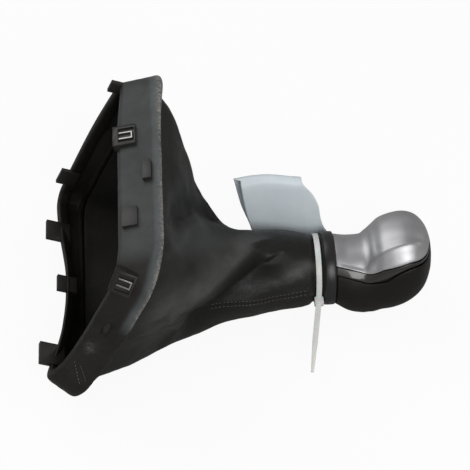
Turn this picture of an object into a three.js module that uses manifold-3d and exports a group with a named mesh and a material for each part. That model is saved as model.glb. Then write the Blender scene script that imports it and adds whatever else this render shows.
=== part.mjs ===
// A car's gear knob with its gaiter, taken out of the console and lying on its back.
// Everything is modelled as it stands in the console: x to the knob's silver front, y across the car,
// z up along the lever. The last lines lay it down on the floor. Sizes are in millimetres.
import * as THREE from "three";
import Module from "manifold-3d";

const wasm = await Module();
wasm.setup();

// Driving sizes.
const FRAME_X = 145;
const FRAME_Y = 168;
const FRAME_CORNERS = [32, 26, 19, 19];
const FRAME_DEPTH = 20.5;
const DRAFT_X = 13.7;
const DRAFT_Y = 4.4;
const FRAME_WALL = 2;
const WALL_GAP = 0.7;
const REAR_BOW = 13;
const REAR_REACH = 8;
const FAR_BOW = 3.5;

const LEATHER = 1.4;
const GAP = 0.3;

const NECK_AT = [14.6, 3, 131];
const NECK_LEAN = [0.39, -0.03, 1];
const NECK_RADIUS = 22.3;
const TIE_FROM_COLLAR = 3.5;

const COLLAR_RADIUS = 24;
const COLLAR_LENGTH = 7.5;

const KNOB_LENGTH = 63.5;
const KNOB_ROLL = -12;
const COVER_WALL = 2.4;
const SOCKET_RADIUS = 6.2;
const SOCKET_DEPTH = 38;

const TIE_WIDTH = 3.6;
const TIE_THICKNESS = 1.1;
const TIE_HEAD = [4.6, 5.2, 5.8];
const TIE_TAIL = 48;

const LYING_TILT = 22.5;

// Small helpers.
const rad = (degrees) => (degrees * Math.PI) / 180;
const mix = (a, b, t) => a + (b - a) * t;
const clamp = (x, low, high) => Math.min(high, Math.max(low, x));
const smooth = (x) => {
  const t = clamp(x, 0, 1);
  return t * t * (3 - 2 * t);
};

// Reads a table of [x, value, value ...] rows at x, with soft corners between rows.
function readTable(table, x) {
  let i = 0;
  while (i < table.length - 2 && x > table[i + 1][0]) i++;
  const [a, b] = [table[i], table[i + 1]];
  const before = table[i - 1] ?? a;
  const after = table[i + 2] ?? b;
  const span = b[0] - a[0];
  const t = clamp((x - a[0]) / span, 0, 1);
  return a.slice(1).map((start, k) => {
    const end = b[k + 1];
    const slopeIn = ((end - before[k + 1]) / (b[0] - before[0])) * span;
    const slopeOut = ((after[k + 1] - start) / (after[0] - a[0])) * span;
    const t2 = t * t;
    const t3 = t2 * t;
    return (
      start * (2 * t3 - 3 * t2 + 1) +
      slopeIn * (t3 - 2 * t2 + t) +
      end * (3 * t2 - 2 * t3) +
      slopeOut * (t3 - t2)
    );
  });
}

// A closed surface from rows of points; faces are turned outwards if the rows ran the other way.
function solidFrom(points, triangles) {
  const position = new Float32Array(points.flatMap((p) => [p.x, p.y, p.z]));
  let volume = 0;
  for (const [a, b, c] of triangles) {
    volume += points[a].dot(new THREE.Vector3().crossVectors(points[b], points[c]));
  }
  const facing = volume < 0 ? triangles.map(([a, b, c]) => [a, c, b]) : triangles;
  return new wasm.Manifold(
    new wasm.Mesh({
      numProp: 3,
      vertProperties: position,
      triVerts: new Uint32Array(facing.flat()),
    }),
  );
}

// Rows of points, each row a closed section, the last row joined to the first: a ring such as a frame.
function ringSolid(rows) {
  const n = rows.length;
  const m = rows[0].length;
  const triangles = [];
  for (let i = 0; i < n; i++) {
    for (let j = 0; j < m; j++) {
      const a = i * m + j;
      const b = i * m + ((j + 1) % m);
      const c = ((i + 1) % n) * m + j;
      const d = ((i + 1) % n) * m + ((j + 1) % m);
      triangles.push([a, b, d], [a, d, c]);
    }
  }
  return solidFrom(rows.flat(), triangles);
}

// The same with both ends closed by fans: a bar, or a loft.
function loftSolid(rows) {
  const n = rows.length;
  const m = rows[0].length;
  const points = rows.flat();
  const triangles = [];
  for (let i = 0; i < n - 1; i++) {
    for (let j = 0; j < m; j++) {
      const a = i * m + j;
      const b = i * m + ((j + 1) % m);
      triangles.push([a, b, b + m], [a, b + m, a + m]);
    }
  }
  for (const [row, turned] of [[0, true], [n - 1, false]]) {
    const middle = rows[row].reduce((sum, p) => sum.add(p), new THREE.Vector3()).divideScalar(m);
    points.push(middle);
    const hub = points.length - 1;
    for (let j = 0; j < m; j++) {
      const a = row * m + j;
      const b = row * m + ((j + 1) % m);
      triangles.push(turned ? [hub, b, a] : [hub, a, b]);
    }
  }
  return solidFrom(points, triangles);
}

// A three.js geometry as a solid, and back.
function fromGeometry(geometry, matrix) {
  const plain = geometry.index ? geometry.toNonIndexed() : geometry;
  if (matrix) plain.applyMatrix4(matrix);
  const p = plain.getAttribute("position");
  const seen = new Map();
  const points = [];
  const corners = [];
  for (let i = 0; i < p.count; i++) {
    const key = [p.getX(i), p.getY(i), p.getZ(i)].map((v) => Math.round(v * 1e4)).join();
    if (!seen.has(key)) {
      seen.set(key, points.length);
      points.push(new THREE.Vector3().fromBufferAttribute(p, i));
    }
    corners.push(seen.get(key));
  }
  const triangles = [];
  for (let i = 0; i < corners.length; i += 3) {
    const [a, b, c] = corners.slice(i, i + 3);
    if (a !== b && b !== c && c !== a) triangles.push([a, b, c]);
  }
  return solidFrom(points, triangles);
}

function toGeometry(solid) {
  const mesh = solid.getMesh();
  const position = new Float32Array(mesh.numVert * 3);
  for (let i = 0; i < mesh.numVert; i++) {
    position.set(mesh.vertProperties.subarray(i * mesh.numProp, i * mesh.numProp + 3), i * 3);
  }
  const geometry = new THREE.BufferGeometry();
  geometry.setAttribute("position", new THREE.BufferAttribute(position, 3));
  geometry.setIndex(new THREE.BufferAttribute(mesh.triVerts, 1));
  const faceted = geometry.toNonIndexed();
  faceted.computeVertexNormals();
  return faceted;
}

// The largest of the pieces that a cut leaves.
function mainBody(solid) {
  return solid.decompose().reduce((best, body) => (body.volume() > best.volume() ? body : best));
}

// A prism over a flat outline, from z = low to z = high.
function prism(outline, low, high, matrix) {
  const shape = new THREE.Shape(outline.map(([x, y]) => new THREE.Vector2(x, y)));
  const geometry = new THREE.ExtrudeGeometry(shape, { depth: high - low, bevelEnabled: false });
  geometry.translate(0, 0, low);
  return fromGeometry(geometry, matrix);
}

const consoleGroup = new THREE.Group();

function addPiece(name, solid, color, roughness, metalness = 0) {
  const material = new THREE.MeshStandardMaterial({ color, roughness, metalness });
  const mesh = new THREE.Mesh(toGeometry(solid), material);
  mesh.name = name;
  consoleGroup.add(mesh);
  return mesh;
}

// The frame's outline.
// A rounded rectangle, walked from the middle of its +x side towards +y, with the same count of points
// on every level, so that levels join point to point.
const CORNER_STEPS = 6;
const SIDE_STEPS = 10;

function roundedRectangle(halfX, halfY, radii) {
  const points = [];
  const corners = [
    [1, 1, 0],
    [-1, 1, 90],
    [-1, -1, 180],
    [1, -1, 270],
  ];
  for (let c = 0; c < 4; c++) {
    const [sx, sy, start] = corners[c];
    const [nx, ny] = corners[(c + 1) % 4];
    const corner = radii[c];
    const next = radii[(c + 1) % 4];
    for (let k = 0; k < CORNER_STEPS; k++) {
      const angle = rad(start + (90 * k) / CORNER_STEPS);
      points.push([
        sx * (halfX - corner) + corner * Math.cos(angle),
        sy * (halfY - corner) + corner * Math.sin(angle),
      ]);
    }
    const endAngle = rad(start + 90);
    const from = [
      sx * (halfX - corner) + corner * Math.cos(endAngle),
      sy * (halfY - corner) + corner * Math.sin(endAngle),
    ];
    const to = [
      nx * (halfX - next) + next * Math.cos(endAngle),
      ny * (halfY - next) + next * Math.sin(endAngle),
    ];
    for (let k = 0; k < SIDE_STEPS; k++) {
      const t = k / SIDE_STEPS;
      points.push([mix(from[0], to[0], t), mix(from[1], to[1], t)]);
    }
  }
  return [...points.slice(-SIDE_STEPS / 2), ...points.slice(0, -SIDE_STEPS / 2)];
}

// The frame is a little warped: two of its corners are pulled out of the flat outline. Its rear side
// is bowed in at the lower edge and its far side bowed out.
const SWELLS = [
  { x: -0.44 * FRAME_X, y: 0.46 * FRAME_Y, reach: 24, by: [0, 4.5, -7.5] },
  { x: 0.44 * FRAME_X, y: -0.46 * FRAME_Y, reach: 26, by: [1, -4, 3] },
];
const bowAt = (y) => mix(-REAR_REACH, REAR_BOW, Math.exp(-(((y - FRAME_Y * 0.08) / (FRAME_Y * 0.31)) ** 2)));
const farBowAt = (x) => FAR_BOW * Math.exp(-((x / (FRAME_X * 0.3)) ** 2));
const swellAt = (x, y) =>
  SWELLS.reduce((sum, swell) => {
    const away = Math.hypot(x - swell.x, y - swell.y) / swell.reach;
    return sum.addScaledVector(new THREE.Vector3(...swell.by), Math.exp(-away * away));
  }, new THREE.Vector3());

// The wall's outline at a height: it leans inwards from the ridge (z = 0) down.
function wallLoop(inset, z) {
  const down = clamp(-z / FRAME_DEPTH, 0, 1.2);
  const corners = FRAME_CORNERS.map((radius) => Math.max(3, radius - 6 * down - inset));
  const loop = roundedRectangle(
    FRAME_X / 2 - DRAFT_X * down - inset,
    FRAME_Y / 2 - DRAFT_Y * down - inset,
    corners,
  );
  return loop.map(([x, y]) => {
    const rear = smooth(-x / (FRAME_X * 0.3));
    const far = smooth(-y / (FRAME_Y * 0.3));
    const bowed = new THREE.Vector3(x + bowAt(y) * down * rear, y - farBowAt(x) * down * far, z);
    return bowed.add(swellAt(x, y));
  });
}

// A ring whose section is a list of [inset, z] corners.
function wallRing(section) {
  const loops = section.map(([inset, z]) => wallLoop(inset, z));
  return ringSolid(loops[0].map((_, i) => loops.map((loop) => loop[i])));
}

// Leather band over the frame: inset from the outline, and height.
const wrapIn = LEATHER * 2 + FRAME_WALL + WALL_GAP * 2;
const bandSection = [
  [wrapIn, -13],
  [wrapIn, -FRAME_DEPTH + 0.6],
  [wrapIn - 1, -FRAME_DEPTH - 0.7],
  [1, -FRAME_DEPTH - 0.7],
  [0, -FRAME_DEPTH + 0.4],
  [0, -13],
  [0, -5],
  [-0.5, -1.6],
  [-0.2, 0.6],
  [1.3, 2.1],
  [3.4, 2.3],
  [5.6, 1],
  [7.4, -0.8],
  [6.8, -1.5],
  [5.3, -0.4],
  [3.2, 0.8],
  [1.9, 0.5],
  [1.1, -0.6],
  [LEATHER, -5],
  [LEATHER, -13],
  [LEATHER, -FRAME_DEPTH + 0.7],
  [wrapIn - LEATHER, -FRAME_DEPTH + 0.7],
  [wrapIn - LEATHER, -13],
];

// Plastic frame inside the band.
const frameOut = LEATHER + WALL_GAP;
const frameIn = frameOut + FRAME_WALL;
const frameSection = [
  [frameIn, -FRAME_DEPTH + 1],
  [frameIn, -13],
  [frameIn, -4.9],
  [9.6, -4.9],
  [9.6, -2.9],
  [5.4, -1.9],
  [frameIn - 0.4, -0.5],
  [frameOut + 0.6, -0.5],
  [frameOut, -1.2],
  [frameOut, -5],
  [frameOut, -13],
  [frameOut, -FRAME_DEPTH + 1],
];

// Gaiter.
const neckAxis = new THREE.Vector3(...NECK_LEAN).normalize();
const tieCentre = new THREE.Vector3(...NECK_AT);
const neckTop = tieCentre.clone().addScaledVector(neckAxis, TIE_FROM_COLLAR);
const hem = new THREE.Vector3(0, 0, -1.7);
const bend = neckTop.clone().addScaledVector(neckAxis, -78).add(new THREE.Vector3(0, 4, 0));

// How far a section still follows the frame's outline (1) or is round like the neck (0), and its radius.
// Columns: distance along the gaiter, outline share at the front, near side, rear and far side, radius.
const GAITER_SHAPE = [
  [0, 1, 1, 1, 1, 30],
  [0.06, 0.955, 0.95, 0.945, 0.96, 30],
  [0.18, 0.82, 0.75, 0.73, 0.79, 30],
  [0.32, 0.52, 0.43, 0.45, 0.33, 30],
  [0.45, 0.21, 0.26, 0.26, 0.11, 29],
  [0.56, 0.04, 0.14, 0.11, -0.08, 28.2],
  [0.68, 0.01, 0.07, 0.03, -0.05, 27.4],
  [0.8, 0, 0.01, 0, 0, 26.2],
  [0.9, 0, 0, 0, 0, 24.6],
  [0.944, 0, 0, 0, 0, NECK_RADIUS + 0.8],
  [0.957, 0, 0, 0, 0, NECK_RADIUS - 0.9],
  [0.997, 0, 0, 0, 0, NECK_RADIUS - 0.9],
  [1, 0, 0, 0, 0, NECK_RADIUS + 0.2],
];

const hemLoop = wallLoop(8.3, hem.z).map((p) => [p.x, p.y, p.z - hem.z]);
const AROUND = hemLoop.length;

// Folds of the slack leather: height outwards, half width, and the line as [degrees round, t] pairs.
const FOLDS = [
  { height: 6, width: 7, line: [[75, 0.3], [62, 0.38], [39, 0.53], [13, 0.65], [2, 0.71]] },
  { height: -6, width: 8, line: [[82, 0.38], [52, 0.56], [32, 0.73]] },
  { height: 1.5, width: 7, line: [[2, 0.71], [8, 0.84]] },
  { height: -3.4, width: 5, line: [[14, 0.13], [0, 0.27], [-11, 0.4]] },
  { height: -3.2, width: 5, line: [[4, 0.15], [-14, 0.28], [-27, 0.37]] },
  { height: 2, width: 6, line: [[28, 0.12], [14, 0.24], [4, 0.34]] },
  { height: 2.2, width: 4, line: [[74, 0.31], [90, 0.33], [97, 0.24]] },
  { height: -2, width: 6, line: [[62, 0.16], [70, 0.25], [84, 0.28]] },
  { height: 1.4, width: 4, line: [[-29, 0.29], [-28, 0.33]] },
  { height: 0.8, width: 10, line: [[28, 0.9], [40, 0.92]] },
];
const FOLD_AROUND = 40;
const FOLD_ALONG = 125;

function foldHeight(degrees, t) {
  let height = 0;
  for (const fold of FOLDS) {
    let nearest = Infinity;
    for (let k = 0; k + 1 < fold.line.length; k++) {
      const [a0, t0] = fold.line[k];
      const [a1, t1] = fold.line[k + 1];
      const off = ((degrees - a0 + 540) % 360) - 180;
      const here = [rad(off) * FOLD_AROUND, (t - t0) * FOLD_ALONG];
      const run = [rad(a1 - a0) * FOLD_AROUND, (t1 - t0) * FOLD_ALONG];
      const length2 = run[0] ** 2 + run[1] ** 2;
      const share = clamp((here[0] * run[0] + here[1] * run[1]) / length2, 0, 1);
      nearest = Math.min(nearest, Math.hypot(here[0] - run[0] * share, here[1] - run[1] * share));
    }
    height += fold.height * Math.exp(-((nearest / fold.width) ** 2));
  }
  return height * smooth(t / 0.1) * (1 - smooth((t - 0.9) / 0.045));
}

function gaiterPoint(i, t, inside) {
  const share = i / AROUND;
  const angle = share * 2 * Math.PI;
  const [front, near, rear, far, radius] = readTable(GAITER_SHAPE, t);
  const c = Math.cos(angle);
  const s = Math.sin(angle);
  const along = (c > 0 ? front : rear) * c * c + (s > 0 ? near : far) * s * s;
  const [bx, by, sag] = hemLoop[i % AROUND];
  const x = along * bx + (1 - along) * radius * c;
  const y = along * by + (1 - along) * radius * s;
  const centre = hem
    .clone()
    .multiplyScalar((1 - t) ** 2)
    .addScaledVector(bend, 2 * t * (1 - t))
    .addScaledVector(neckTop, t * t);
  const up = new THREE.Vector3(0, 0, 1).lerp(neckAxis, smooth(t * 1.2)).normalize();
  const sideways = new THREE.Vector3(0, 1, 0).addScaledVector(up, -up.y).normalize();
  const forward = new THREE.Vector3().crossVectors(sideways, up);
  const thickness = inside ? LEATHER * 0.85 : 0;
  const shrink = 1 + (foldHeight(share * 360, t) - thickness) / Math.hypot(x, y);
  const lift = (inside ? -thickness * 0.5 * along : 0) + sag * (1 - smooth((t - 0.05) / 0.35));
  return centre
    .addScaledVector(forward, x * shrink)
    .addScaledVector(sideways, y * shrink)
    .addScaledVector(up, lift);
}

const GAITER_ROWS = [];
for (let k = 0; k <= 20; k++) GAITER_ROWS.push(0.93 * (k / 20));
GAITER_ROWS.push(0.944, 0.957, 0.997, 1);

function gaiterPanel(from, to) {
  const rows = [];
  for (let i = from; i <= to; i++) {
    const outside = GAITER_ROWS.map((t) => gaiterPoint(i, t, false));
    const inside = GAITER_ROWS.map((t) => gaiterPoint(i, t, true));
    rows.push([...outside, ...inside.reverse()]);
  }
  return rows;
}

// Blocks moulded on the frame. Each stands on a side, or round the near front corner by degrees.
const sides = {
  front: { out: [1, 0], half: FRAME_X / 2, draft: DRAFT_X },
  rear: { out: [-1, 0], half: FRAME_X / 2, draft: DRAFT_X },
  far: { out: [0, -1], half: FRAME_Y / 2, draft: DRAFT_Y },
};

// The wall's own axes at a place along it: x along the wall, y outwards, z down.
function wallFrame({ side, along, degrees = 0 }) {
  const corner = FRAME_CORNERS[0];
  const turned = [Math.cos(rad(degrees)), Math.sin(rad(degrees))];
  const { out, half, draft } = sides[side] ?? { out: turned, draft: mix(DRAFT_X, DRAFT_Y, degrees / 90) };
  const leaning = side === "front" || side === "corner";
  const slope = leaning ? Math.atan2(draft, FRAME_DEPTH) : 0;
  const outward = new THREE.Vector3(out[0] * Math.cos(slope), out[1] * Math.cos(slope), -Math.sin(slope));
  const down = new THREE.Vector3(-out[0] * Math.sin(slope), -out[1] * Math.sin(slope), -Math.cos(slope));
  const sideways = new THREE.Vector3().crossVectors(outward, down);
  const basis = new THREE.Matrix4().makeBasis(sideways, outward, down);
  if (side === "corner") {
    const middle = [FRAME_X / 2 - corner, FRAME_Y / 2 - corner];
    return basis.setPosition(middle[0] + corner * out[0], middle[1] + corner * out[1], 0);
  }
  const reach = half - (leaning ? 0 : draft);
  const bow = side === "rear" ? bowAt(along) : 0;
  const place = new THREE.Vector3(out[0] * reach + (out[0] ? bow : along), out[1] * reach + (out[0] ? along : 0), 0);
  return basis.setPosition(place.add(swellAt(place.x, place.y)));
}

// top and bottom are measured down the wall from the ridge, inner and outer from the leather's face.
function wallBox({ width, top, bottom, inner, outer, ...place }, grow = 0) {
  const size = [width + 2 * grow, outer - inner + 2 * grow, bottom - top + 2 * grow];
  const box = new THREE.BoxGeometry(...size);
  box.translate(0, (inner + outer) / 2, (top + bottom) / 2);
  return fromGeometry(box, wallFrame(place));
}

const wallLength = Math.hypot(DRAFT_X, FRAME_DEPTH);
const inWall = -(LEATHER + WALL_GAP + FRAME_WALL * 0.6);
const latch = { width: 16, top: wallLength - 10, bottom: wallLength + 4.6, inner: inWall, outer: 2.4, pocket: 1.6 };
const hook = { width: 13, top: FRAME_DEPTH - 6, bottom: FRAME_DEPTH + 7, inner: -4.6, outer: -2 };
const blocks = {
  front_far: { ...latch, side: "front", along: -0.173 * FRAME_Y },
  front_middle: { side: "front", along: 0.012 * FRAME_Y, width: 15, top: 5, bottom: 10.5, inner: inWall, outer: 3.2 },
  front_low: { side: "front", along: 0.22 * FRAME_Y, width: 15, top: 14.5, bottom: 24.2, inner: inWall, outer: 2.2 },
  front_near: { ...latch, top: 10.7, bottom: 24.6, inner: inWall - 1, outer: 1.8, side: "corner", degrees: 72 },
  rear_far: { ...hook, side: "rear", along: -0.248 * FRAME_Y, width: 15, bottom: FRAME_DEPTH + 10 },
  rear_middle: { ...hook, side: "rear", along: 0.077 * FRAME_Y, width: 12 },
  rear_near: { ...hook, side: "rear", along: 0.357 * FRAME_Y, width: 16, bottom: FRAME_DEPTH + 10.5, outer: -1.2, pocket: 1.6 },
  far_front: { ...hook, side: "far", along: 0.36 * FRAME_X, width: 9, top: FRAME_DEPTH - 9, outer: -4, inner: -6.6 },
  far_rear: { ...hook, side: "far", along: -0.276 * FRAME_X },
};

// A latch block has a pocket in its outer face, and a wire spring bent to a U lies in it.
const WIRE = 1.1;
const SPRING_WIDTH = 5.8;
const SPRING_LENGTH = 9;

function pocketOf(block) {
  const { outer, pocket, width, bottom } = block;
  const cut = { ...block, inner: outer - pocket, outer: outer + 1, width: width * 0.72 };
  return wallBox({ ...cut, top: block.top + 0.9, bottom: bottom - 3.4 });
}

function wireSpring(block) {
  const from = block.bottom - 3.4 - GAP - SPRING_LENGTH;
  const level = { ...block, inner: block.outer - block.pocket + GAP, outer: block.outer - block.pocket + GAP + WIRE };
  const whole = wallBox({ ...level, width: SPRING_WIDTH, top: from, bottom: from + SPRING_LENGTH });
  const gap = { ...level, width: SPRING_WIDTH - 2 * WIRE, inner: level.inner - 1, outer: level.outer + 1 };
  return whole.subtract(wallBox({ ...gap, top: from + WIRE, bottom: from + SPRING_LENGTH + 1 }));
}

// The knob's own axes: x to its front, z along the lever.
const tilt = rad(LYING_TILT);
const skyward = new THREE.Vector3(Math.cos(tilt), 0, -Math.sin(tilt));
const frontward = skyward.clone().addScaledVector(neckAxis, -skyward.dot(neckAxis)).normalize();
frontward.applyAxisAngle(neckAxis, rad(KNOB_ROLL));
const sideward = new THREE.Vector3().crossVectors(neckAxis, frontward);
const collarStart = neckTop.clone().addScaledVector(neckAxis, GAP);
const knobStart = collarStart.clone().addScaledVector(neckAxis, COLLAR_LENGTH + GAP);
const knobMatrix = (origin) =>
  new THREE.Matrix4().makeBasis(frontward, sideward, neckAxis).setPosition(origin);

function turnedRing(profile, steps, origin) {
  const rows = [];
  for (let i = 0; i < steps; i++) {
    const angle = (i / steps) * 2 * Math.PI;
    const [c, s] = [Math.cos(angle), Math.sin(angle)];
    rows.push(profile.map(([r, h]) => new THREE.Vector3(r * c, r * s, h)));
  }
  return ringSolid(rows).transform(knobMatrix(origin).elements);
}

const collarProfile = [
  [SOCKET_RADIUS + 9, 0],
  [COLLAR_RADIUS - 1, 0],
  [COLLAR_RADIUS, 1],
  [COLLAR_RADIUS, COLLAR_LENGTH - 1],
  [COLLAR_RADIUS - 1, COLLAR_LENGTH],
  [SOCKET_RADIUS + 9, COLLAR_LENGTH],
];

// Knob.
// Sections along the knob: height, forward and sideward shift of the middle, half depth, half width,
// squareness.
const KNOB_SHAPE = [
  [0, -0.5, 0, 22.9, 22.9, 2],
  [9, -3.3, 1.3, 25.2, 24.1, 2.05],
  [18, -4.1, 1, 26.6, 24.6, 2.15],
  [22, -2.8, 0.6, 27.4, 25, 2.25],
  [25.5, -1, 0.3, 29, 25.6, 2.3],
  [30, 2, 0, 30, 26.4, 2.4],
  [38, 4.5, 0, 30.5, 27.2, 2.45],
  [46, 6.8, 0, 29.3, 26.8, 2.45],
  [53, 8.4, 0, 26, 24.4, 2.4],
  [58, 9, 0, 21.2, 20, 2.3],
  [61, 9.6, 0, 15.2, 14.5, 2.2],
  [KNOB_LENGTH - 0.6, 9.6, 0, 7.4, 7.4, 2.1],
  [KNOB_LENGTH, 9.6, 0, 2.2, 2.4, 2],
];
const KNOB_ROWS = 20;
const KNOB_STEPS = 44;

// The knob's outer form, made smaller by skin all round for what lies under it.
function knobBody(skin) {
  const rows = [];
  for (let k = 0; k <= KNOB_ROWS; k++) {
    const share = k / KNOB_ROWS;
    const eased = share < 0.5 ? share * 1.15 : 0.575 + 0.425 * Math.sin((share - 0.5) * Math.PI);
    const h = eased * KNOB_LENGTH;
    const [shift, sideShift, depth, width, power] = readTable(KNOB_SHAPE, h);
    const row = [];
    for (let i = 0; i < KNOB_STEPS; i++) {
      const angle = (i / KNOB_STEPS) * 2 * Math.PI;
      const c = Math.cos(angle);
      const s = Math.sin(angle);
      const reach = (Math.abs(c) ** power + Math.abs(s) ** power) ** (-1 / power);
      row.push(
        new THREE.Vector3(
          shift + Math.max(0.4, depth - skin) * reach * c,
          sideShift + Math.max(0.4, width - skin) * reach * s,
          skin ? mix(-1, KNOB_LENGTH - skin, h / KNOB_LENGTH) : h,
        ),
      );
    }
    rows.push(row);
  }
  return loftSolid(rows);
}

// The cover's edge as seen from the front: height, half width, and how far the strip reaches past it.
const COVER_EDGE = [
  [-2, 15.6, 3.4],
  [8, 16.8, 3.4],
  [16, 18.8, 2.8],
  [22.5, 21.6, 1.7],
  [30, 23.6, 1.5],
  [38, 25, 1.2],
  [46, 24.6, 1.1],
  [53, 22.2, 1],
  [57.5, 18.6, 0.8],
  [60.2, 12.5, 0.6],
  [61.6, 5, 0.5],
  [61.8, 0, 0.5],
];
const EDGE_STEPS = 32;

// A prism over the cover's edge. strip is the share of the strip's width that it takes in.
function frontPrism(strip, sideGrow, endGrow, low, high) {
  const [start, end] = [COVER_EDGE[0][0], COVER_EDGE[COVER_EDGE.length - 1][0]];
  const right = [];
  for (let k = 0; k <= EDGE_STEPS; k++) {
    const h = mix(start, end, Math.sin((k / EDGE_STEPS) * Math.PI * 0.5));
    const [w, reach] = readTable(COVER_EDGE, h);
    const past = h < 0 ? -3 : (h / KNOB_LENGTH) ** 2 * endGrow;
    right.push([h + past, k < EDGE_STEPS ? w + strip * reach + sideGrow : 0]);
  }
  const left = right.slice(0, -1).reverse().map(([h, w]) => [h, -w]);
  const toFront = new THREE.Matrix4().makeBasis(
    new THREE.Vector3(0, 0, 1),
    new THREE.Vector3(0, -1, 0),
    new THREE.Vector3(1, 0, 0),
  );
  return prism([...right, ...left], low, high, toFront);
}

const STRIP_LOW = 1;
const outerBody = knobBody(0);
const shell = outerBody.subtract(knobBody(COVER_WALL));
const cover = mainBody(shell.intersect(frontPrism(0, 0, 0, STRIP_LOW + 2, 60)));
const strip = mainBody(
  shell
    .intersect(frontPrism(1, 0, 0.5, STRIP_LOW, 60))
    .subtract(frontPrism(0, GAP, GAP, STRIP_LOW + 2 - GAP, 61)),
);
const grip = mainBody(shell.subtract(frontPrism(1, GAP, 0.5 + GAP, STRIP_LOW - GAP, 60)));
const socket = new THREE.CylinderGeometry(SOCKET_RADIUS, SOCKET_RADIUS, SOCKET_DEPTH * 2, 32);
socket.rotateX(Math.PI / 2);
const base = new THREE.BoxGeometry(80, 80, 80);
base.translate(0, 0, 40);
const core = knobBody(COVER_WALL + GAP)
  .intersect(fromGeometry(base))
  .subtract(fromGeometry(socket));

// Cable tie.
// A point given in the lying part's own axes: x from the frame to the knob, y away, z up.
const fromLying = (x, y, z) =>
  new THREE.Vector3(
    x * Math.sin(tilt) + z * Math.cos(tilt),
    -y,
    x * Math.cos(tilt) - z * Math.sin(tilt),
  );

const tieInner = NECK_RADIUS - 0.8 + GAP + 0.1;
const tieProfile = [
  [tieInner, -TIE_WIDTH / 2],
  [tieInner + TIE_THICKNESS, -TIE_WIDTH / 2],
  [tieInner + TIE_THICKNESS, TIE_WIDTH / 2],
  [tieInner, TIE_WIDTH / 2],
];
const TIE_HEAD_ANGLE = 112;
const headDirection = new THREE.Vector3()
  .addScaledVector(frontward, Math.cos(rad(TIE_HEAD_ANGLE)))
  .addScaledVector(sideward, Math.sin(rad(TIE_HEAD_ANGLE)));
const headTangent = new THREE.Vector3().crossVectors(neckAxis, headDirection);
const headCentre = tieCentre.clone().addScaledVector(headDirection, tieInner + 0.3 + TIE_HEAD[0] / 2);
const headBox = fromGeometry(
  new THREE.BoxGeometry(...TIE_HEAD),
  new THREE.Matrix4().makeBasis(headDirection, headTangent, neckAxis).setPosition(headCentre),
);

function tieTail() {
  const start = headCentre.clone().addScaledVector(headTangent, -1);
  const fall = fromLying(-7, -45.5, -17.5).normalize();
  const broad = new THREE.Vector3().crossVectors(fall, fromLying(0, 0, 1)).normalize();
  const thin = new THREE.Vector3().crossVectors(fall, broad);
  const rows = [];
  for (let k = 0; k <= 10; k++) {
    const t = k / 10;
    const half = TIE_WIDTH * 0.5 * (t < 0.6 ? 1 : mix(1, 0.5, (t - 0.6) / 0.4));
    const at = start.clone().addScaledVector(fall, TIE_TAIL * t);
    at.addScaledVector(thin, -4 * Math.sin(t * Math.PI) * 0.5);
    rows.push(
      [[1, 1], [-1, 1], [-1, -1], [1, -1]].map(([a, b]) =>
        at
          .clone()
          .addScaledVector(broad, a * half)
          .addScaledVector(thin, b * TIE_THICKNESS * 0.5),
      ),
    );
  }
  return loftSolid(rows);
}

// Tag.
// A stiff sheet folded over its top edge: a near leaf and a far leaf, in the lying part's axes.
const TAG_SHEET = 0.8;
function tagLeaf(sectionYZ, outlineXZ) {
  const forward = [];
  const back = [];
  sectionYZ.forEach(([y, z], k) => {
    const [y0, z0] = sectionYZ[Math.max(0, k - 1)];
    const [y1, z1] = sectionYZ[Math.min(sectionYZ.length - 1, k + 1)];
    const length = Math.hypot(y1 - y0, z1 - z0);
    const [ny, nz] = [(-(z1 - z0) / length) * TAG_SHEET, ((y1 - y0) / length) * TAG_SHEET];
    forward.push([y, z]);
    back.unshift([y - ny, z - nz]);
  });
  const toSide = new THREE.Matrix4().makeBasis(
    new THREE.Vector3(0, 1, 0),
    new THREE.Vector3(0, 0, 1),
    new THREE.Vector3(1, 0, 0),
  );
  const toFace = new THREE.Matrix4().makeBasis(
    new THREE.Vector3(1, 0, 0),
    new THREE.Vector3(0, 0, 1),
    new THREE.Vector3(0, -1, 0),
  );
  return prism([...forward, ...back], 60, 145, toSide).intersect(prism(outlineXZ, -60, 0, toFace));
}

const leafNear = [[20.5, -48], [22.5, -31], [24.9, -13], [28, 2], [29.6, 7.4]];
const leafBend = [[31.2, 9.6], [33.6, 10.6], [36, 9.8]];
const leafFar = [[37, 7], [35.4, -7], [31.6, -25], [27.6, -41]];
const rightEdge = [
  [112, 23], [119, 10], [125, 3], [129.5, -7], [131, -17], [133, -25], [136.5, -33], [137, -58],
];
const nearOutline = [[91, -58], [87.5, -33], [82, -9], [77.5, 23], ...rightEdge];
const farOutline = [[91, -58], [86, -33], [79, -12], [72.5, 23], ...rightEdge];

const toConsole = new THREE.Matrix4().makeBasis(
  fromLying(1, 0, 0),
  fromLying(0, 1, 0),
  fromLying(0, 0, 1),
);
const tag = tagLeaf([...leafNear, ...leafBend], nearOutline)
  .add(tagLeaf([...leafBend.slice(1), ...leafFar], farOutline))
  .transform(toConsole.elements);

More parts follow.
